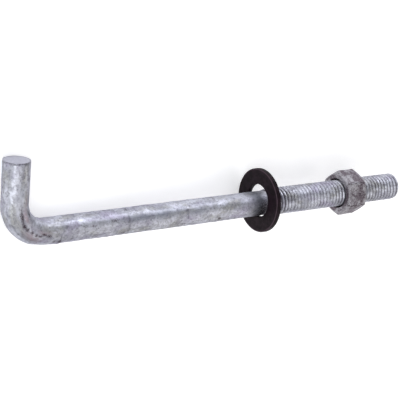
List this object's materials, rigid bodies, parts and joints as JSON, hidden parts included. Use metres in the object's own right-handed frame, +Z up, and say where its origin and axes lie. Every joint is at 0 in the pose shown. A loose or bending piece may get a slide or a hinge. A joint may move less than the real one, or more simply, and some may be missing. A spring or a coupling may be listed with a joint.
{
  "type": "j bolt",
  "caption": "J-shaped anchor bolt bent from round galvanised bar, with a rolled thread, a loose flat washer and a hexagon nut, lying on its side.",
  "frame": {"origin": "on the surface that the bolt lies on, under the centre of its bounding box", "axes": "+X along the bar towards the threaded end as seen from above, +Y the way the hooked leg points, +Z up; the bar itself climbs 3.98 degrees towards the thread, because the washer's rim props it"},
  "size_m": [0.2144, 0.045, 0.0296],
  "materials": {
    "galvanised_bar": "hot-dip galvanised, mottled and satin",
    "dark_washer": "dark oxide, slightly oiled",
    "galvanised_nut": "galvanised, dulled and stained"
  },
  "bodies": {
    "bolt": {"j_bolt": "galvanised_bar"},
    "washer": {"washer": "dark_washer"},
    "nut": {"hex_nut": "galvanised_nut"}
  },
  "joints": [
    {"name": "washer_slide", "type": "slide", "parent": "bolt", "child": "washer", "axis": [0.9976, 0, 0.0695], "range_m": [-0.11, 0]},
    {"name": "nut_travel", "type": "slide", "parent": "bolt", "child": "nut", "axis": [0.9976, 0, 0.0695], "range_m": [-0.04494, 0.03322]}
  ]
}
